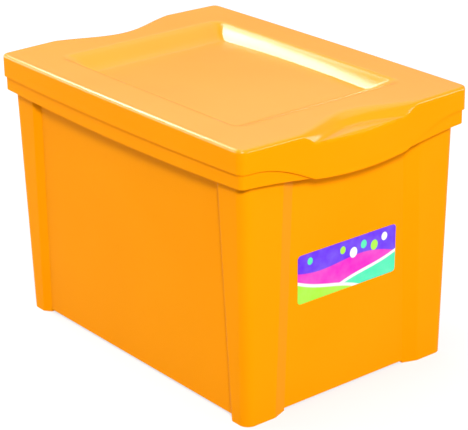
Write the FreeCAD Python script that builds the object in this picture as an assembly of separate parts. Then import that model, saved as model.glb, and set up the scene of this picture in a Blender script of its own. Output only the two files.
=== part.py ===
import FreeCAD, Part
import math
import os

# A moulded storage box with a lift-off lid, in millimetres.
# X runs along its length, Y across it and Z up. The origin lies on the ground under its middle.

# Overall size, over the lid's corners and from the feet to the lid's top
box_length = 415.0
box_width = 298.5
box_height = 300.0

# Lid shell
lid_wall = 2.0
lid_skirt = 24.5            # height of the skirt at the corners
lid_skirt_sag = 2.5         # how much lower it hangs at the middle of a long side
lid_corner_radius = 8.0
lid_edge_radius = 3.5
lid_end_bow = 4.0           # how far a short end swells outward at its middle
lid_side_bow = 1.6          # the same for a long side

# Sunken panel in the lid's top
recess_depth = 14.5
recess_crown = 2.5          # how much its floor rises again towards the middle
recess_side_margin = 39.0   # rail left along each long side
recess_end_margin = 52.0    # flat left at each short end
recess_side_run = 20.0      # how far the slope reaches in from its upper edge
recess_end_run = 38.0
recess_top_radius = 14.0    # corner radius of the upper edge
recess_floor_radius = 6.0   # corner radius of the floor
recess_curve = 1.7          # above 1, a side slope starts gently and ends steep

# Grip scooped out of the lid's top at each short end
scoop_reach = 32.0          # how far it reaches in from the lid's end
scoop_half_width = 104.0    # half its width at the lid's top
scoop_ledge_half = 70.0     # half its width at the ledge
scoop_round = 19.0          # radius of its rounded upper edge
scoop_cove = 4.0            # radius of the hollow below that
scoop_steepness = 58.0      # steepest angle, where the rounding meets the hollow, in degrees
scoop_ledge_tilt = 4.0      # fall of the ledge towards its lip, in degrees
scoop_lip_radius = 2.5
scoop_lip_roll = 60.0       # how steep the lip has become where it meets the lid's end, in degrees

# Handle lobe, where the lid's skirt reaches down over the tub's rim
lobe_half_width = 60.0
lobe_shoulder = 75.0        # run of the curve from the lobe up to the plain skirt
lobe_cover = 0.6            # how much lower than the rim the lobe ends

# Tub
tub_wall = 2.2
tub_floor = 2.5
foot_height = 3.0
rim_fit = 0.4               # gap between the lid and the rim that it closes over
rim_band = 15.5             # height of rim that shows under the skirt at the corners
rim_side_sag = 4.0          # how much lower its edge hangs at the middle of a long side
rim_end_drop = 12.0         # the same at the middle of a short end
post_inset = 8.25           # from the lid's side in to the corner posts, at the rim's edge
tub_taper = 4.8             # how far each side draws in from there to the ground
post_depth = 6.0            # how far the corner posts stand out from the panels
post_corner_radius = 11.0
post_edge_radius = 3.0
long_post_top = 46.0        # width of a post on the long sides, at the rim's edge
long_post_foot = 31.0       # the same on the ground
long_post_slope = 8.0       # the part of that width taken up by its sloped flank
short_post_top = 68.0
short_post_foot = 54.0
short_post_slope = 16.5

# Label on one short end
label_margin = 10.33        # bare panel left on each side of it, between the posts
label_height = 53.0
label_thickness = 0.4
label_radius = 4.0
label_centre_z = 139.5

# Cutting shapes: how far they reach past what they cut, and the gentle start of the curved ones
overrun = 20.0
lead_in = 4.0
lead_rise = 0.6
side_gap = 1.0

# Heights and half sizes that follow from these
half_x = box_length / 2
half_y = box_width / 2
skirt_z = box_height - lid_skirt
rim_z = skirt_z - rim_band
seat_z = box_height - lid_wall
flange_inset = lid_wall + rim_fit
post_x = half_x - post_inset
post_y = half_y - post_inset
low_z = rim_z - rim_end_drop - overrun


def bell(t):
    """One at the middle, zero from one outward, level at both."""
    return (1 + math.cos(math.pi * min(abs(t), 1.0))) / 2


def swell(along, half_length, bow):
    """How far a bowed side stands out at this distance along it."""
    radius = (half_length ** 2 + bow ** 2) / (2 * bow)
    return bow - radius + math.sqrt(radius ** 2 - along ** 2)


def spline(points):
    curve = Part.BSplineCurve()
    curve.interpolate(points)
    return curve.toShape()


def polyline(points):
    return [Part.LineSegment(a, b).toShape() for a, b in zip(points, points[1:])]


def spread(start, end, steps):
    """Evenly spaced numbers from start to end."""
    return [start + (end - start) * i / steps for i in range(steps + 1)]


def rounded_polygon(corners, z):
    """Closed wire at height z, with an arc at each corner (x, y, radius)."""
    count = len(corners)
    arcs = []
    for i in range(count):
        x, y, radius = corners[i]
        here = FreeCAD.Vector(x, y, z)
        back = FreeCAD.Vector(corners[i - 1][0], corners[i - 1][1], z) - here
        ahead = FreeCAD.Vector(corners[(i + 1) % count][0], corners[(i + 1) % count][1], z) - here
        back.normalize()
        ahead.normalize()
        half_angle = back.getAngle(ahead) / 2
        reach = radius / math.tan(half_angle)
        middle = back + ahead
        middle.normalize()
        crown = here + middle * (radius / math.sin(half_angle) - radius)
        arcs.append((here + back * reach, crown, here + ahead * reach))
    edges = []
    for i in range(count):
        edges.append(Part.Arc(*arcs[i]).toShape())
        edges.append(Part.LineSegment(arcs[i][2], arcs[(i + 1) % count][0]).toShape())
    return Part.Wire(edges)


def rectangle(x, y, radius):
    return [(x, -y, radius), (x, y, radius), (-x, y, radius), (-x, -y, radius)]


def both_ends(shape):
    """The shape, and the same turned half round for the opposite end or side."""
    opposite = shape.copy()
    opposite.rotate(FreeCAD.Vector(0, 0, 0), FreeCAD.Vector(0, 0, 1), 180)
    return [shape, opposite]


def bowed_block(inset, bottom_z, top_z):
    """Block with the lid's bowed outline, drawn in by inset, with its corners rounded."""
    x = half_x - inset
    y = half_y - inset
    right = [FreeCAD.Vector(x + swell(s, y, lid_end_bow), s, bottom_z) for s in spread(-y, y, 2)]
    far = [FreeCAD.Vector(s, y + swell(s, x, lid_side_bow), bottom_z) for s in spread(x, -x, 2)]
    left = [FreeCAD.Vector(-p.x, -p.y, bottom_z) for p in right]
    near = [FreeCAD.Vector(-p.x, -p.y, bottom_z) for p in far]
    outline = Part.Wire([spline(right), Part.Arc(*far).toShape(), spline(left), Part.Arc(*near).toShape()])
    block = Part.Face(outline).extrude(FreeCAD.Vector(0, 0, top_z - bottom_z))
    upright = [e for e in block.Edges if e.BoundBox.ZLength > (top_z - bottom_z) / 2]
    return block.makeFillet(max(lid_corner_radius - inset, lid_wall / 2), upright)


def ease(depth_share):
    """Share of an end slope's run at a share of its depth, for a slope that starts and ends gently."""
    return 0.5 - math.sin(math.asin(1.0 - 2.0 * depth_share) / 3.0)


def recess(drop):
    """Hollow of the sunken panel, lowered by drop: a crowned floor, steep sides and softer ends."""
    x = half_x - recess_end_margin
    y = half_y - recess_side_margin
    opening = rectangle(x + lead_in, y + lead_in, recess_top_radius + lead_in)
    wires = [rounded_polygon(opening, box_height + lead_rise - drop)]
    for step in spread(0.0, 1.0, 9):
        share = 1.0 - (1.0 - step) ** 1.5    # closer steps towards the foot
        sunk = share ** recess_curve
        radius = recess_top_radius + (recess_floor_radius - recess_top_radius) * share
        ring = rectangle(x - recess_end_run * ease(sunk), y - recess_side_run * share, radius)
        wires.append(rounded_polygon(ring, box_height - recess_depth * sunk - drop))
    crown_z = box_height - recess_depth + recess_crown - drop
    radius = (x ** 2 + recess_crown ** 2) / (2 * recess_crown)
    start = FreeCAD.Vector(0, -half_y, crown_z - radius)
    crown = Part.makeCylinder(radius, box_width, start, FreeCAD.Vector(0, 1, 0))
    return Part.makeLoft(wires, True, True).cut(crown)


def scoop_profile():
    """The scoop's middle from its rounded edge down to its lip, as (reach, fall, slope) steps."""
    steep = math.radians(scoop_steepness)
    tilt = math.radians(scoop_ledge_tilt)
    path = [(scoop_reach + lead_in, -lead_rise, 0.0)]
    for slope in spread(0.0, steep, 4):
        reach = scoop_reach - scoop_round * math.sin(slope)
        path.append((reach, scoop_round * (1 - math.cos(slope)), slope))
    reach, fall, _ = path[-1]
    for slope in spread(steep, tilt, 5)[1:]:
        hollow = scoop_cove * (math.sin(steep) - math.sin(slope))
        path.append((reach - hollow, fall + scoop_cove * (math.cos(slope) - math.cos(steep)), slope))
    return path


def scoop_lip(ledge_reach, ledge_fall, grow):
    """The rest of the profile: the tilted ledge and its rounded lip, run out past the lid's face."""
    tilt = math.radians(scoop_ledge_tilt)
    fall = ledge_fall + (ledge_reach - scoop_lip_radius) * math.tan(tilt)
    slopes = [tilt]
    if grow < scoop_lip_radius:
        slopes = spread(tilt, math.radians(scoop_lip_roll), 2)
    path = []
    for slope in slopes:
        reach = scoop_lip_radius * (1 + math.sin(tilt) - math.sin(slope))
        path.append((reach, fall + scoop_lip_radius * (math.cos(tilt) - math.cos(slope)), slope))
    reach, fall, slope = path[-1]
    path.append((reach - lead_in, fall + lead_in * math.tan(slope), slope))
    return path


def scoop(grow):
    """Hollow of the grip at the +X end, grown into the lid by grow."""
    path = scoop_profile()
    ledge_reach, ledge_fall, _ = path[-1]
    path += scoop_lip(ledge_reach, ledge_fall, grow)
    side = scoop_half_width + overrun
    outside = half_x + lid_end_bow + overrun
    wires = []
    for reach, fall, slope in path:
        share = max(reach - ledge_reach, 0.0) / (scoop_reach - ledge_reach)
        half_width = scoop_ledge_half + (scoop_half_width - scoop_ledge_half) * share + grow
        inward = reach + grow * math.sin(slope) + side_gap
        z = box_height - fall - grow * math.cos(slope)
        points = []
        for y in spread(-side, side, 24):
            face_x = half_x + swell(y, half_y, lid_end_bow)
            points.append(FreeCAD.Vector(face_x + side_gap - inward * bell(y / half_width), y, z))
        frame = [points[-1], FreeCAD.Vector(outside, side, z), FreeCAD.Vector(outside, -side, z), points[0]]
        wires.append(Part.Wire([spline(points)] + polyline(frame)))
    return Part.makeLoft(wires, True, True)


def rim_end_z(y):
    """Height of the rim's lower edge along a short end."""
    return rim_z - rim_end_drop * bell(y / half_y)


def rim_end_edge():
    side = half_y + overrun
    return [spline([FreeCAD.Vector(0, y, rim_end_z(y)) for y in spread(-side, side, 24)])]


def lid_end_edge():
    """Lower edge of the lid along a short end: the lobe follows the rim, then climbs to the skirt."""
    lobe_z = rim_end_z(lobe_half_width) - lobe_cover
    lobe = []
    for y in spread(-lobe_half_width, lobe_half_width, 12):
        lobe.append(FreeCAD.Vector(0, y, rim_end_z(y) - lobe_cover))
    climb = []
    for share in spread(0.0, 1.0, 8):
        z = lobe_z + (skirt_z - lobe_z) * math.sin(math.pi / 2 * share)
        climb.append(FreeCAD.Vector(0, lobe_half_width + lobe_shoulder * share, z))
    descent = [FreeCAD.Vector(0, -p.y, p.z) for p in reversed(climb)]
    side = half_y + overrun
    first = polyline([FreeCAD.Vector(0, -side, skirt_z), descent[0]])
    last = polyline([climb[-1], FreeCAD.Vector(0, side, skirt_z)])
    return first + [spline(descent), spline(lobe), spline(climb)] + last


def below_ends(edges, bottom_z):
    """All that lies under a lower edge drawn across the short ends."""
    first = edges[0].Vertexes[0].Point
    last = edges[-1].Vertexes[-1].Point
    frame = [last, FreeCAD.Vector(0, last.y, bottom_z), FreeCAD.Vector(0, first.y, bottom_z), first]
    face = Part.Face(Part.Wire(edges + polyline(frame)))
    face.translate(FreeCAD.Vector(half_x - lid_corner_radius, 0, 0))
    return both_ends(face.extrude(FreeCAD.Vector(lid_corner_radius + lid_end_bow + overrun, 0, 0)))


def below_sides(corner_z, sag, bottom_z):
    """All that lies under a lower edge that sags between the corners of the long sides."""
    y = half_y - lid_corner_radius - rim_fit
    bend = half_x - lid_corner_radius
    side = half_x + overrun
    start = FreeCAD.Vector(-bend, y, corner_z)
    end = FreeCAD.Vector(bend, y, corner_z)
    arc = Part.Arc(start, FreeCAD.Vector(0, y, corner_z - sag), end).toShape()
    frame = [end, FreeCAD.Vector(side, y, corner_z), FreeCAD.Vector(side, y, bottom_z)]
    frame += [FreeCAD.Vector(-side, y, bottom_z), FreeCAD.Vector(-side, y, corner_z), start]
    face = Part.Face(Part.Wire([arc] + polyline(frame)))
    return both_ends(face.extrude(FreeCAD.Vector(0, lid_corner_radius + lid_side_bow + overrun, 0)))


def make_lid():
    """Thin shell with a sunken top, scooped grips and a skirt that drops into a lobe at each end."""
    shell = bowed_block(0.0, low_z, box_height)
    shell = shell.makeFillet(lid_edge_radius, [e for e in shell.Edges if e.BoundBox.ZMin > skirt_z])
    shell = shell.cut([recess(0.0)] + both_ends(scoop(0.0)))
    hollow = bowed_block(lid_wall, low_z - overrun, seat_z)
    hollow = hollow.cut([recess(lid_wall)] + both_ends(scoop(lid_wall)))
    lid = shell.cut(hollow)
    lid = lid.cut(below_ends(lid_end_edge(), low_z - overrun))
    return lid.cut(below_sides(skirt_z, lid_skirt_sag, low_z - overrun))


def short_post_edge(z):
    """How far from the middle of a short end its posts begin, at height z."""
    down = (rim_z - z) / rim_z
    return post_y - tub_taper * down - short_post_top - (short_post_foot - short_post_top) * down


def tub_section(z, inset):
    """Outline of the tub's wall at height z, drawn in by inset: corner posts and set-back panels."""
    down = (rim_z - z) / rim_z
    x = post_x - tub_taper * down
    y = post_y - tub_taper * down
    long_edge = x - long_post_top - (long_post_foot - long_post_top) * down
    long_edge += inset * math.tan(math.atan2(post_depth, long_post_slope) / 2)
    short_edge = short_post_edge(z) + inset * math.tan(math.atan2(post_depth, short_post_slope) / 2)
    x -= inset
    y -= inset
    quarter = [
        (x - post_depth, short_edge, post_edge_radius),
        (x, short_edge + short_post_slope, post_edge_radius),
        (x, y, post_corner_radius - inset),
        (long_edge + long_post_slope, y, post_edge_radius),
        (long_edge, y - post_depth, post_edge_radius)]
    far_half = quarter + [(-px, py, radius) for px, py, radius in reversed(quarter)]
    return rounded_polygon(far_half + [(-px, -py, radius) for px, py, radius in far_half], z)


def make_rim(envelope):
    """Flange that turns out over the posts and down, following the underside of the lid."""
    under = bowed_block(flange_inset + tub_wall, -2 * overrun, seat_z - tub_wall)
    under = under.cut(both_ends(scoop(flange_inset + tub_wall)))
    rim = envelope.cut(under)
    rim = rim.cut(below_ends(rim_end_edge(), -2 * overrun))
    return rim.cut(below_sides(rim_z, rim_side_sag, -2 * overrun))


def make_tub():
    above_z = box_height + overrun
    envelope = bowed_block(flange_inset, -overrun, seat_z).cut(both_ends(scoop(flange_inset)))
    body = Part.makeLoft([tub_section(0.0, 0.0), tub_section(above_z, 0.0)], True, True)
    body = body.common(envelope).fuse(make_rim(envelope))
    floor_z = foot_height + tub_floor
    inside = Part.makeLoft([tub_section(floor_z, tub_wall), tub_section(above_z, tub_wall)], True, True)
    foot_x = post_x - tub_taper - long_post_foot
    foot_y = post_y - tub_taper - short_post_foot
    across = Part.makeBox(2 * foot_x, box_width, foot_height, FreeCAD.Vector(-foot_x, -half_y, 0))
    along = Part.makeBox(box_length, 2 * foot_y, foot_height, FreeCAD.Vector(-half_x, -foot_y, 0))
    return body.cut([inside, across, along])


def make_label():
    """Rounded sheet lying on the drafted panel of the +X end."""
    label_width = 2 * (short_post_edge(label_centre_z + label_height / 2) - label_margin)
    outline = rounded_polygon(rectangle(label_height / 2, label_width / 2, label_radius), 0.0)
    label = Part.Face(outline).extrude(FreeCAD.Vector(0, 0, label_thickness))
    draft = math.degrees(math.atan2(tub_taper, rim_z))
    label.rotate(FreeCAD.Vector(0, 0, 0), FreeCAD.Vector(0, 1, 0), 90 + draft)
    panel_x = post_x - post_depth - tub_taper * (rim_z - label_centre_z) / rim_z
    label.translate(FreeCAD.Vector(panel_x, 0, label_centre_z))
    return label


os.makedirs("parts", exist_ok=True)
for name, make in (("tub", make_tub), ("lid", make_lid), ("label", make_label)):
    piece = make()
    piece.exportStep("parts/" + name + ".step")
    print(name, piece.isValid(), len(piece.Solids), "solid", round(piece.Volume / 1000, 2), "cm3")
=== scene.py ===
import math

import bpy
import numpy as np
from mathutils import Matrix, Vector


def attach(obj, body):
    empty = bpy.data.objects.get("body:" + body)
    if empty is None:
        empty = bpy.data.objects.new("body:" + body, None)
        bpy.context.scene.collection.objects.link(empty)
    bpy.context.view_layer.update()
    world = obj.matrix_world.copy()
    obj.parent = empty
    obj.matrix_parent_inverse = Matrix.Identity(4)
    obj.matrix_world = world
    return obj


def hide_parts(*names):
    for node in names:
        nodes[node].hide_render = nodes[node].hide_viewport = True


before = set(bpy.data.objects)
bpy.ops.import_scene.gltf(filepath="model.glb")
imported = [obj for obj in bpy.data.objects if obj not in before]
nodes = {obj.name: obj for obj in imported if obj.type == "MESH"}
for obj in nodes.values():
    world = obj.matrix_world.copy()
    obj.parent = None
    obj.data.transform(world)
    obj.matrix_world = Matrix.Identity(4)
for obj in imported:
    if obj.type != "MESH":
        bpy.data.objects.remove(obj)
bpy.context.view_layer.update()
scene = bpy.context.scene

# Lengths are in metres. The lid's shell is built on the sizes of its solid, and where it has one of its own
# the comment says so.
# X runs along the box, Y across it and Z up.

# Lid: outline, skirt and rounded edge
HALF_X = 0.2075             # half the length, over the corners
HALF_Y = 0.14925            # half the width, over the corners
TOP_Z = 0.300
SKIRT_Z = 0.2755            # the skirt's lower edge at the corners
SKIRT_SAG = 0.0025          # how much lower it hangs at the middle of a long side
CORNER_RADIUS = 0.008
EDGE_RADIUS = 0.0035        # between the skirt and the top
END_BOW = 0.004             # how far a short end swells outward at its middle
SIDE_BOW = 0.0016           # the same for a long side
LID_WALL = 0.002

# Lid: sunken panel in its top
END_FRAME = 0.052           # flat left at each short end
SIDE_FRAME = 0.039          # flat left along each long side
RECESS_X = HALF_X - END_FRAME
RECESS_Y = HALF_Y - SIDE_FRAME
RECESS_END_RUN = 0.038      # how far a slope reaches in from its upper edge
RECESS_SIDE_RUN = 0.020
RECESS_DEPTH = 0.0145
RECESS_CURVE = 1.7          # above 1, a side slope starts gently and ends steep
RECESS_TOP_RADIUS = 0.014   # corner radius of the upper edge
RECESS_FLOOR_RADIUS = 0.006
RECESS_CROWN = 0.0025       # how much the floor rises again towards the middle
RECESS_FOOT_BOW = 0.002     # how far the foot of a side slope swells at its middle, on the shell alone

# Lid: grip scooped out of the top at each short end
SCOOP_REACH = 0.032         # how far it reaches in from the lid's end
SCOOP_HALF = 0.104          # half its width at the lid's top
SCOOP_LEDGE_HALF = 0.070    # half its width at the ledge
SCOOP_ROUND = 0.019         # radius of its rounded upper edge
SCOOP_COVE = 0.004          # radius of the hollow below that
SCOOP_STEEP = math.radians(58.0)       # where the rounding meets the hollow
SCOOP_TILT = math.radians(4.0)         # fall of the ledge towards its lip
SCOOP_LIP = 0.0025          # radius of the lip at the ledge's outer edge
SCOOP_LIP_ROLL = math.radians(60.0)    # how steep the lip has become where it meets the lid's end
SCOOP_RUN_IN = 0.020        # flat top that the section starts on
SCOOP_RUN_OUT = 0.004       # how far the section goes on outward past the lip
SCOOP_GAP = 0.001           # its sides run out on a line this far outside the lid's end

# Lid: lobe at each short end, where the skirt reaches down over the tub's rim
LOBE_HALF = 0.060
LOBE_SHOULDER = 0.075       # run of the curve from the lobe up to the plain skirt
LOBE_COVER = 0.0006         # how much lower than the rim the lobe ends
RIM_Z = 0.260               # the rim's lower edge at the corners
RIM_END_DROP = 0.012        # how much lower it hangs at the middle of a short end

# Lid: fineness of its mesh
SIDE_STEPS = 96             # along a long side
END_STEPS = 72              # along a short end
CORNER_STEPS = 10
SKIRT_STEPS = 10
EDGE_STEPS = 8
FRAME_STEPS = 32
SLOPE_STEPS = 32
SLOPE_CROWDING = 1.5        # above 1, the steps of a slope crowd towards its foot
FLOOR_SHARES = (0.008, 0.02, 0.05, 0.1, 0.2, 0.3, 0.4, 0.5, 0.6, 0.7, 0.8, 0.9, 0.96)
ROUND_POINTS = 14
COVE_POINTS = 16
LIP_POINTS = 8

# Edges that turn by more than this are shaded as sharp ones
LID_CRISP = math.radians(60)
TUB_CRISP = math.radians(30)


def between(start, end, share):
    return start + (end - start) * share


def bell(t):
    """One at the middle, zero from one outward, level at both."""
    return (1 + np.cos(np.pi * np.minimum(np.abs(t), 1.0))) / 2


def swell(along, half_length, bow):
    """How far a bowed side stands out at this distance along it."""
    return bow * (1 - (along / half_length) ** 2)


def ring(half_x, half_y, radius, end_bow, side_bow):
    """Closed rounded rectangle as plan points, whose ends and sides swell outward by their bows."""
    inner_x = half_x - radius
    inner_y = half_y - radius
    turn = np.linspace(0, np.pi / 2, CORNER_STEPS + 1)[:-1]
    along_end = inner_y * np.linspace(-1, 1, END_STEPS + 1)[:-1]
    along_side = inner_x * np.linspace(1, -1, SIDE_STEPS + 1)[:-1]
    end = np.column_stack([np.full(END_STEPS, half_x), along_end])
    end_turn = np.column_stack([inner_x + radius * np.cos(turn), inner_y + radius * np.sin(turn)])
    side = np.column_stack([along_side, np.full(SIDE_STEPS, half_y)])
    side_turn = np.column_stack([-inner_x - radius * np.sin(turn), inner_y + radius * np.cos(turn)])
    half = np.concatenate([end, end_turn, side, side_turn])
    x, y = np.concatenate([half, -half]).T
    bowed_x = x * (1 + end_bow / half_x * np.clip(1 - (y / half_y) ** 2, 0, 1))
    bowed_y = y * (1 + side_bow / half_y * np.clip(1 - (x / half_x) ** 2, 0, 1))
    return np.column_stack([bowed_x, bowed_y])


def scoop_path():
    """Section through the middle of a grip, from the flat top to its lip, as rows of reach and fall."""
    rows = [(SCOOP_REACH + SCOOP_RUN_IN, 0.0)]
    for slope in np.linspace(0, SCOOP_STEEP, ROUND_POINTS):
        rows.append((SCOOP_REACH - SCOOP_ROUND * math.sin(slope), SCOOP_ROUND * (1 - math.cos(slope))))
    reach, fall = rows[-1]
    for slope in np.linspace(SCOOP_STEEP, SCOOP_TILT, COVE_POINTS)[1:]:
        rows.append((reach - SCOOP_COVE * (math.sin(SCOOP_STEEP) - math.sin(slope)),
                     fall + SCOOP_COVE * (math.cos(slope) - math.cos(SCOOP_STEEP))))
    ledge_reach, ledge_fall = rows[-1]
    fall = ledge_fall + (ledge_reach - SCOOP_LIP) * math.tan(SCOOP_TILT)
    for slope in np.linspace(SCOOP_TILT, SCOOP_LIP_ROLL, LIP_POINTS):
        rows.append((SCOOP_LIP * (1 + math.sin(SCOOP_TILT) - math.sin(slope)),
                     fall + SCOOP_LIP * (math.cos(SCOOP_TILT) - math.cos(slope))))
    reach, fall = rows[-1]
    rows.append((reach - SCOOP_RUN_OUT, fall + SCOOP_RUN_OUT * math.tan(SCOOP_LIP_ROLL)))
    return np.array(rows), ledge_reach


SCOOP_PATH, SCOOP_LEDGE_REACH = scoop_path()


def scoop_fall(plan):
    """How deep the grips cut below the lid's top at each plan point."""
    x, y = plan.T
    inward = HALF_X + swell(np.clip(y, -HALF_Y, HALF_Y), HALF_Y, END_BOW) + SCOOP_GAP - np.abs(x)
    reach, path_fall = SCOOP_PATH.T
    share = np.clip((reach - SCOOP_LEDGE_REACH) / (SCOOP_REACH - SCOOP_LEDGE_REACH), 0, 1)
    half_width = between(SCOOP_LEDGE_HALF, SCOOP_HALF, share)
    fall = np.zeros(len(plan))
    for i in range(len(plan)):
        if abs(y[i]) < SCOOP_HALF and inward[i] < SCOOP_REACH + SCOOP_RUN_IN:
            reaches = (reach + SCOOP_GAP) * bell(y[i] / half_width)
            fall[i] = np.interp(inward[i], reaches[::-1], path_fall[::-1])
    return fall


def lobe_edge(y):
    """Height of a lobe's lower edge, just below the edge of the rim."""
    return RIM_Z - RIM_END_DROP * bell(y / HALF_Y) - LOBE_COVER


def skirt_edge(plan):
    """Height of the lid's lower edge at each point of its outline."""
    x, y = plan.T
    bend = HALF_X - CORNER_RADIUS
    sides = SKIRT_Z - SKIRT_SAG * np.clip(1 - (x / bend) ** 2, 0, 1)
    climb = np.clip((np.abs(y) - LOBE_HALF) / LOBE_SHOULDER, 0, 1)
    shoulders = between(lobe_edge(LOBE_HALF), SKIRT_Z, np.sin(np.pi / 2 * climb))
    ends = np.where(np.abs(y) < LOBE_HALF, lobe_edge(y), shoulders)
    return np.where(np.abs(x) > bend, ends, sides)


def pressed_ring(plan, z):
    """Ring of points at height z, or lower where a grip is pressed in."""
    return np.column_stack([plan, np.minimum(z, TOP_Z - scoop_fall(plan))])


def skirt_rings():
    """Rings up the skirt, from its lower edge to the rounded edge or a grip."""
    outline = ring(HALF_X, HALF_Y, CORNER_RADIUS, END_BOW, SIDE_BOW)
    low = skirt_edge(outline)
    high = pressed_ring(outline, TOP_Z - EDGE_RADIUS)[:, 2]
    return [np.column_stack([outline, between(low, high, share)])
            for share in np.linspace(0, 1, SKIRT_STEPS + 1)]


def edge_rings():
    """Rings round the edge, from the skirt to the flat top."""
    rings = []
    for angle in np.linspace(0, np.pi / 2, EDGE_STEPS + 1)[1:]:
        inset = EDGE_RADIUS * (1 - math.cos(angle))
        plan = ring(HALF_X - inset, HALF_Y - inset, CORNER_RADIUS - inset, END_BOW, SIDE_BOW)
        rings.append(pressed_ring(plan, TOP_Z - EDGE_RADIUS * (1 - math.sin(angle))))
    return rings


def frame_rings():
    """Rings in across the flat frame, from the edge to the sunken panel."""
    rings = []
    for share in np.linspace(0, 1, FRAME_STEPS + 1)[1:]:
        plan = ring(between(HALF_X - EDGE_RADIUS, RECESS_X, share),
                    between(HALF_Y - EDGE_RADIUS, RECESS_Y, share),
                    between(CORNER_RADIUS - EDGE_RADIUS, RECESS_TOP_RADIUS, share),
                    END_BOW * (1 - share), SIDE_BOW * (1 - share))
        rings.append(pressed_ring(plan, TOP_Z))
    return rings


def ease(depth_share):
    """Share of an end slope's run at which its smooth S has sunk by this share."""
    return 0.5 - math.sin(math.asin(1 - 2 * depth_share) / 3)


def crown(plan):
    """How far the sunken panel is raised again at each plan point."""
    return RECESS_CROWN * np.clip(1 - (plan[:, 0] / RECESS_X) ** 2, 0, 1)


def slope_rings():
    """Rings down the slopes of the sunken panel."""
    rings = []
    for step in np.linspace(0, 1, SLOPE_STEPS + 1)[1:]:
        share = 1 - (1 - step) ** SLOPE_CROWDING
        sunk = share ** RECESS_CURVE
        plan = ring(RECESS_X - RECESS_END_RUN * ease(sunk), RECESS_Y - RECESS_SIDE_RUN * share,
                    between(RECESS_TOP_RADIUS, RECESS_FLOOR_RADIUS, share), 0.0, RECESS_FOOT_BOW * share)
        rings.append(pressed_ring(plan, TOP_Z - (RECESS_DEPTH - crown(plan)) * sunk))
    return rings


def floor_rings():
    """Rings in across the floor of the sunken panel, closest together at the foot of the slopes."""
    rings = []
    for share in FLOOR_SHARES:
        left = 1 - share
        plan = ring((RECESS_X - RECESS_END_RUN) * left, (RECESS_Y - RECESS_SIDE_RUN) * left,
                    RECESS_FLOOR_RADIUS * left, 0.0, RECESS_FOOT_BOW * left)
        rings.append(pressed_ring(plan, TOP_Z - RECESS_DEPTH + crown(plan)))
    return rings


def bridge(rings):
    """Faces from each ring to the next, and one face that closes the last ring."""
    count = len(rings[0])
    faces = []
    for k in range(len(rings) - 1):
        for i in range(count):
            j = (i + 1) % count
            faces.append((k * count + i, k * count + j, (k + 1) * count + j, (k + 1) * count + i))
    last = (len(rings) - 1) * count
    faces.append(tuple(range(last, last + count)))
    return faces


def add_mesh(name, points, faces):
    mesh = bpy.data.meshes.new(name)
    mesh.from_pydata([tuple(point) for point in points], [], faces)
    mesh.validate()
    mesh.shade_smooth()
    piece = bpy.data.objects.new(name, mesh)
    scene.collection.objects.link(piece)
    return piece


def keep_edges_crisp(piece, angle):
    split = piece.modifiers.new("edges", "EDGE_SPLIT")
    split.split_angle = angle


def make_lid():
    """Thin moulded shell whose outer face is laid in rings, and whose wall is added inward."""
    rings = skirt_rings() + edge_rings() + frame_rings() + slope_rings() + floor_rings()
    shell = add_mesh("lid_shell", np.concatenate(rings), bridge(rings))
    wall = shell.modifiers.new("wall", "SOLIDIFY")
    wall.thickness = LID_WALL
    wall.offset = -1.0
    keep_edges_crisp(shell, LID_CRISP)
    return shell


lid = make_lid()
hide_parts("lid")
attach(lid, "lid")

# Places of the Mix node's colour sockets
MIX_FIRST = 6
MIX_SECOND = 7
MIX_RESULT = 2

# Most values of a noise texture lie between these
NOISE_LOW = 0.3
NOISE_HIGH = 0.7


class Graph:
    """Shorthand for adding nodes to one node tree and wiring them up."""

    def __init__(self, tree):
        self.tree = tree

    def add(self, kind):
        return self.tree.nodes.new(kind)

    def link(self, source, socket):
        """Wire an output to a socket, or set the socket to a number or a colour."""
        if isinstance(source, (int, float, tuple)):
            socket.default_value = source
        else:
            self.tree.links.new(source, socket)

    def math(self, operation, a, b=0.0):
        node = self.add("ShaderNodeMath")
        node.operation = operation
        self.link(a, node.inputs[0])
        self.link(b, node.inputs[1])
        return node.outputs[0]

    def rays(self, *kinds):
        """One for a ray of any of these kinds, else zero."""
        paths = self.add("ShaderNodeLightPath").outputs
        found = 0.0
        for kind in kinds:
            found = self.math("MAXIMUM", found, paths["Is " + kind + " Ray"])
        return found


class Finish(Graph):
    """One material: its nodes, its shader and the patterns that feed it."""

    def __init__(self, name):
        self.material = bpy.data.materials.new(name)
        self.material.use_nodes = True
        super().__init__(self.material.node_tree)
        self.shader = self.tree.nodes["Principled BSDF"]

    def set(self, name, source):
        """Give one of the shader's sockets an output, a number or a colour."""
        self.link(source, self.shader.inputs[name])

    def place(self):
        """Where each point lies on its piece."""
        return self.add("ShaderNodeTexCoord").outputs["Object"]

    def noise(self, scale, detail):
        node = self.add("ShaderNodeTexNoise")
        self.link(self.place(), node.inputs["Vector"])
        node.inputs["Scale"].default_value = scale
        node.inputs["Detail"].default_value = detail
        return node.outputs["Fac"]

    def spread(self, value, low, high, from_low=NOISE_LOW, from_high=NOISE_HIGH):
        """Stretch a range of values to run from low to high, and no further."""
        node = self.add("ShaderNodeMapRange")
        self.link(value, node.inputs["Value"])
        node.inputs["From Min"].default_value = from_low
        node.inputs["From Max"].default_value = from_high
        node.inputs["To Min"].default_value = low
        node.inputs["To Max"].default_value = high
        return node.outputs[0]

    def mix(self, share, first, second):
        node = self.add("ShaderNodeMix")
        node.data_type = "RGBA"
        self.link(share, node.inputs["Factor"])
        self.link(first, node.inputs[MIX_FIRST])
        self.link(second, node.inputs[MIX_SECOND])
        return node.outputs[MIX_RESULT]

    def bump(self, height, distance):
        node = self.add("ShaderNodeBump")
        node.inputs["Strength"].default_value = 1.0
        node.inputs["Distance"].default_value = distance
        self.link(height, node.inputs["Height"])
        return node.outputs[0]


def paint(piece, *materials):
    piece.data.materials.clear()
    for material in materials:
        piece.data.materials.append(material)


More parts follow.
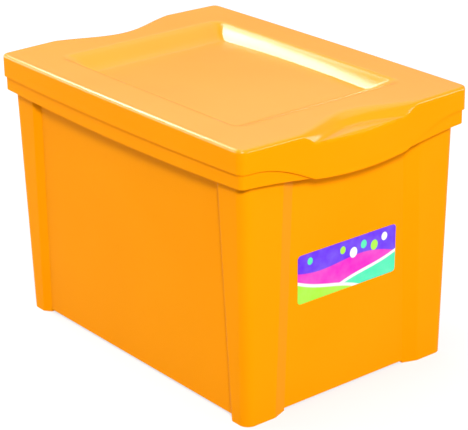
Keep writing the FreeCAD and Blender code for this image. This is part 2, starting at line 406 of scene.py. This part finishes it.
# Plastic: the two tones of its mottling, and how strongly it reflects
TUB_DARK = (0.955, 0.310, 0.000, 1)
TUB_LIGHT = (0.975, 0.322, 0.001, 1)
LID_DARK = (0.955, 0.312, 0.000, 1)
LID_LIGHT = (0.975, 0.325, 0.001, 1)
WALL_GLOSS = 0.02
TOP_GLOSS = 0.5
SKIRT_NORMAL = 0.2          # a face of the lid whose normal rises or falls by less is part of the skirt


def plastic(name, dark, light, gloss):
    """Moulded plastic: faint mottling, uneven roughness and the soft waviness of a thin wall."""
    finish = Finish(name)
    mottle = finish.spread(finish.noise(scale=9.0, detail=3.0), low=0.0, high=1.0)
    finish.set("Base Color", finish.mix(mottle, dark, light))
    finish.set("Roughness", finish.spread(finish.noise(scale=12.0, detail=2.0), low=0.19, high=0.22))
    finish.set("Normal", finish.bump(finish.noise(scale=11.0, detail=1.0), distance=0.0004))
    finish.set("Specular IOR Level", gloss)
    return finish.material


tub_plastic = plastic("tub_plastic", TUB_DARK, TUB_LIGHT, WALL_GLOSS)
lid_plastic = plastic("lid_plastic", LID_DARK, LID_LIGHT, TOP_GLOSS)
skirt_plastic = plastic("skirt_plastic", LID_DARK, LID_LIGHT, WALL_GLOSS)
paint(nodes["tub"], tub_plastic)
paint(lid, lid_plastic, skirt_plastic)
for face in lid.data.polygons:
    face.material_index = int(abs(face.normal.z) < SKIRT_NORMAL)
keep_edges_crisp(nodes["tub"], TUB_CRISP)

# Label: the area that its print is laid out on, its inks and its edges
PRINT_HALF_WIDTH = 0.066
PRINT_HALF_HEIGHT = 0.0265
PRINT_CENTRE_Z = 0.1395
VIOLET = (0.115, 0.006, 0.78, 1)
MAGENTA = (0.80, 0.004, 0.52, 1)
LIME = (0.36, 0.83, 0.012, 1)
MINT = (0.05, 0.78, 0.42, 1)
WHITE = (0.90, 0.90, 0.88, 1)
WAVE_EDGE = 0.02            # softness of a wave's edge, as a share of the half height
WAVE_BAND = 0.13            # white band above a wave, as a share of the half height
DAB_EDGE = 0.03             # softness of a dab's edge, as a share of its radius
DAB_STRETCH = 1.15          # height of a dab over its width
LABEL_GLOSS = 0.3

# Each wave's slope, level, ripple height, ripple rate and shift
FAR_WAVE = (-0.30, 0.16, 0.22, 2.6, 0.4)
MINT_WAVE = (0.75, -0.80, 0.12, 3.0, 2.0)
LIME_WAVE = (-0.90, -1.00, 0.10, 3.4, 1.2)

# Each dab's place across and up the print, its radius and its ink
DABS = ((-0.76, 0.66, 0.0034, MINT), (-0.10, 0.64, 0.0036, LIME), (0.12, 0.40, 0.0050, WHITE),
        (0.33, 0.60, 0.0040, MINT), (0.55, 0.42, 0.0048, LIME), (0.76, 0.64, 0.0040, WHITE))


def label_material():
    """Printed sheet: bright waves and a scatter of round dabs, laid out over the label's own plane."""
    sheet = Finish("label_print")
    axes = sheet.add("ShaderNodeSeparateXYZ")
    sheet.link(sheet.place(), axes.inputs[0])
    u = sheet.math("DIVIDE", axes.outputs["Y"], PRINT_HALF_WIDTH)
    v = sheet.math("DIVIDE", sheet.math("SUBTRACT", axes.outputs["Z"], PRINT_CENTRE_Z), PRINT_HALF_HEIGHT)

    def below(slope, level, height, rate, shift):
        """One below a sloping wavy line, zero above it."""
        ripple = sheet.math("SINE", sheet.math("ADD", sheet.math("MULTIPLY", u, rate), shift))
        middle = sheet.math("ADD", sheet.math("MULTIPLY", u, slope), level)
        line = sheet.math("ADD", middle, sheet.math("MULTIPLY", ripple, height))
        return sheet.spread(sheet.math("SUBTRACT", line, v), 0.0, 1.0, -WAVE_EDGE, WAVE_EDGE)

    def within(centre_u, centre_v, radius):
        """One on a dab, zero off it."""
        across = sheet.math("MULTIPLY", sheet.math("SUBTRACT", u, centre_u), PRINT_HALF_WIDTH / radius)
        upward = sheet.math("MULTIPLY", sheet.math("SUBTRACT", v, centre_v),
                            PRINT_HALF_HEIGHT / (radius * DAB_STRETCH))
        squares = sheet.math("ADD", sheet.math("MULTIPLY", across, across),
                             sheet.math("MULTIPLY", upward, upward))
        return sheet.spread(sheet.math("SQRT", squares), 1.0, 0.0, 1 - DAB_EDGE, 1 + DAB_EDGE)

    ink = sheet.mix(below(*FAR_WAVE), VIOLET, MAGENTA)
    for (slope, level, *ripple), colour in ((MINT_WAVE, MINT), (LIME_WAVE, LIME)):
        ink = sheet.mix(below(slope, level + WAVE_BAND, *ripple), ink, WHITE)
        ink = sheet.mix(below(slope, level, *ripple), ink, colour)
    for centre_u, centre_v, radius, colour in DABS:
        ink = sheet.mix(within(centre_u, centre_v, radius), ink, colour)
    fade = sheet.spread(sheet.noise(scale=60.0, detail=3.0), low=0.0, high=0.08)
    sheet.set("Base Color", sheet.mix(fade, ink, WHITE))
    sheet.set("Roughness", sheet.spread(sheet.noise(scale=90.0, detail=2.0), low=0.28, high=0.36))
    sheet.set("Specular IOR Level", LABEL_GLOSS)
    return sheet.material


paint(nodes["label"], label_material())

# Floor: grey paper that glows only to the camera and in reflections, so it looks pale and keeps a shadow
FLOOR_SIZE = 12
FLOOR_GREY = (0.35, 0.35, 0.35, 1)
FLOOR_ROUGHNESS = 0.9
FLOOR_GLOW = 0.62


def floor_paper():
    paper = Finish("floor_paper")
    paper.set("Base Color", FLOOR_GREY)
    paper.set("Roughness", FLOOR_ROUGHNESS)
    paper.set("Specular IOR Level", 0.0)
    glow = paper.add("ShaderNodeEmission")
    seen = paper.rays("Camera", "Glossy", "Transmission")
    paper.link(paper.math("MULTIPLY", seen, FLOOR_GLOW), glow.inputs["Strength"])
    both = paper.add("ShaderNodeAddShader")
    paper.link(paper.shader.outputs[0], both.inputs[0])
    paper.link(glow.outputs[0], both.inputs[1])
    paper.link(both.outputs[0], paper.tree.nodes["Material Output"].inputs["Surface"])
    return paper.material


bpy.ops.mesh.primitive_plane_add(size=FLOOR_SIZE, location=(0, 0, 0))
floor = bpy.context.object
floor.name = "floor"
paint(floor, floor_paper())

# World: a faint even light, stronger in reflections, and as pale to the camera as the far floor
WORLD_FILL = 0.15
WORLD_MIRRORED = 0.42
WORLD_SEEN = 0.68


def make_world():
    world = bpy.data.worlds.new("studio")
    world.use_nodes = True
    sky = Graph(world.node_tree)
    background = sky.tree.nodes["Background"]
    background.inputs["Color"].default_value = (1, 1, 1, 1)
    mirrored = sky.math("MULTIPLY", sky.rays("Glossy", "Transmission"), WORLD_MIRRORED)
    seen = sky.math("MULTIPLY", sky.rays("Camera"), WORLD_SEEN)
    strength = sky.math("MAXIMUM", sky.math("MAXIMUM", mirrored, seen), WORLD_FILL)
    sky.link(strength, background.inputs["Strength"])
    return world


scene.world = make_world()


def soft_box(name, where, aim_z, size, watts):
    """Rectangular lamp that faces the point at height aim_z over the origin."""
    data = bpy.data.lights.new(name, "AREA")
    data.shape = "RECTANGLE"
    data.size, data.size_y = size
    data.energy = watts
    lamp = bpy.data.objects.new(name, data)
    scene.collection.objects.link(lamp)
    lamp.location = where
    facing = Vector((0, 0, aim_z)) - Vector(where)
    lamp.rotation_euler = facing.to_track_quat("-Z", "Y").to_euler()


# Lamps: a key light, two wide low ones for the walls, and high ones for the lid's top
soft_box("key", where=(2.55, -1.62, 2.15), aim_z=0.2, size=(0.6, 0.6), watts=120)
soft_box("right", where=(1.70, 1.85, 0.62), aim_z=0.15, size=(2.6, 0.8), watts=31)
soft_box("front", where=(-1.95, -1.45, 0.60), aim_z=0.15, size=(2.2, 0.7), watts=31)
soft_box("overhead", where=(0.1, -0.1, 2.6), aim_z=0.3, size=(0.8, 0.8), watts=14)
soft_box("left", where=(-1.63, -0.42, 1.63), aim_z=0.28, size=(0.95, 0.45), watts=24)
soft_box("left_fill", where=(-1.65, 0.36, 1.65), aim_z=0.28, size=(0.6, 0.6), watts=6)
soft_box("above", where=(-0.30, 1.15, 2.27), aim_z=0.3, size=(2.0, 1.19), watts=6.5)
soft_box("back", where=(-1.66, 1.27, 1.60), aim_z=0.3, size=(2.3, 1.15), watts=4.6)

# Camera: fitted to the photograph, with its azimuth turned from -Y towards +X
AZIMUTH = math.radians(51.57)
ELEVATION = math.radians(22.12)
ROLL = math.radians(-0.97)
DISTANCE = 1.95525
AIM_Z = 0.150               # height aimed at over the origin, before the two shifts
AIM_RIGHT = 0.00558
AIM_DOWN = 0.01481
SENSOR_WIDTH = 36.0         # in millimetres, as the focal length is
FOCAL_LENGTH = 138.8


def place_camera():
    camera = bpy.data.objects.new("camera", bpy.data.cameras.new("camera"))
    scene.collection.objects.link(camera)
    backward = Vector((math.sin(AZIMUTH) * math.cos(ELEVATION), -math.cos(AZIMUTH) * math.cos(ELEVATION),
                       math.sin(ELEVATION)))
    level_right = Vector((math.cos(AZIMUTH), math.sin(AZIMUTH), 0))
    level_up = backward.cross(level_right)
    right = level_right * math.cos(ROLL) + level_up * math.sin(ROLL)
    up = level_up * math.cos(ROLL) - level_right * math.sin(ROLL)
    target = Vector((0, 0, AIM_Z)) + right * AIM_RIGHT - up * AIM_DOWN
    camera.matrix_world = Matrix((right, up, backward)).transposed().to_4x4()
    camera.location = target + backward * DISTANCE
    camera.data.sensor_width = SENSOR_WIDTH
    camera.data.lens = FOCAL_LENGTH
    return camera


scene.camera = place_camera()
scene.view_settings.view_transform = "Standard"
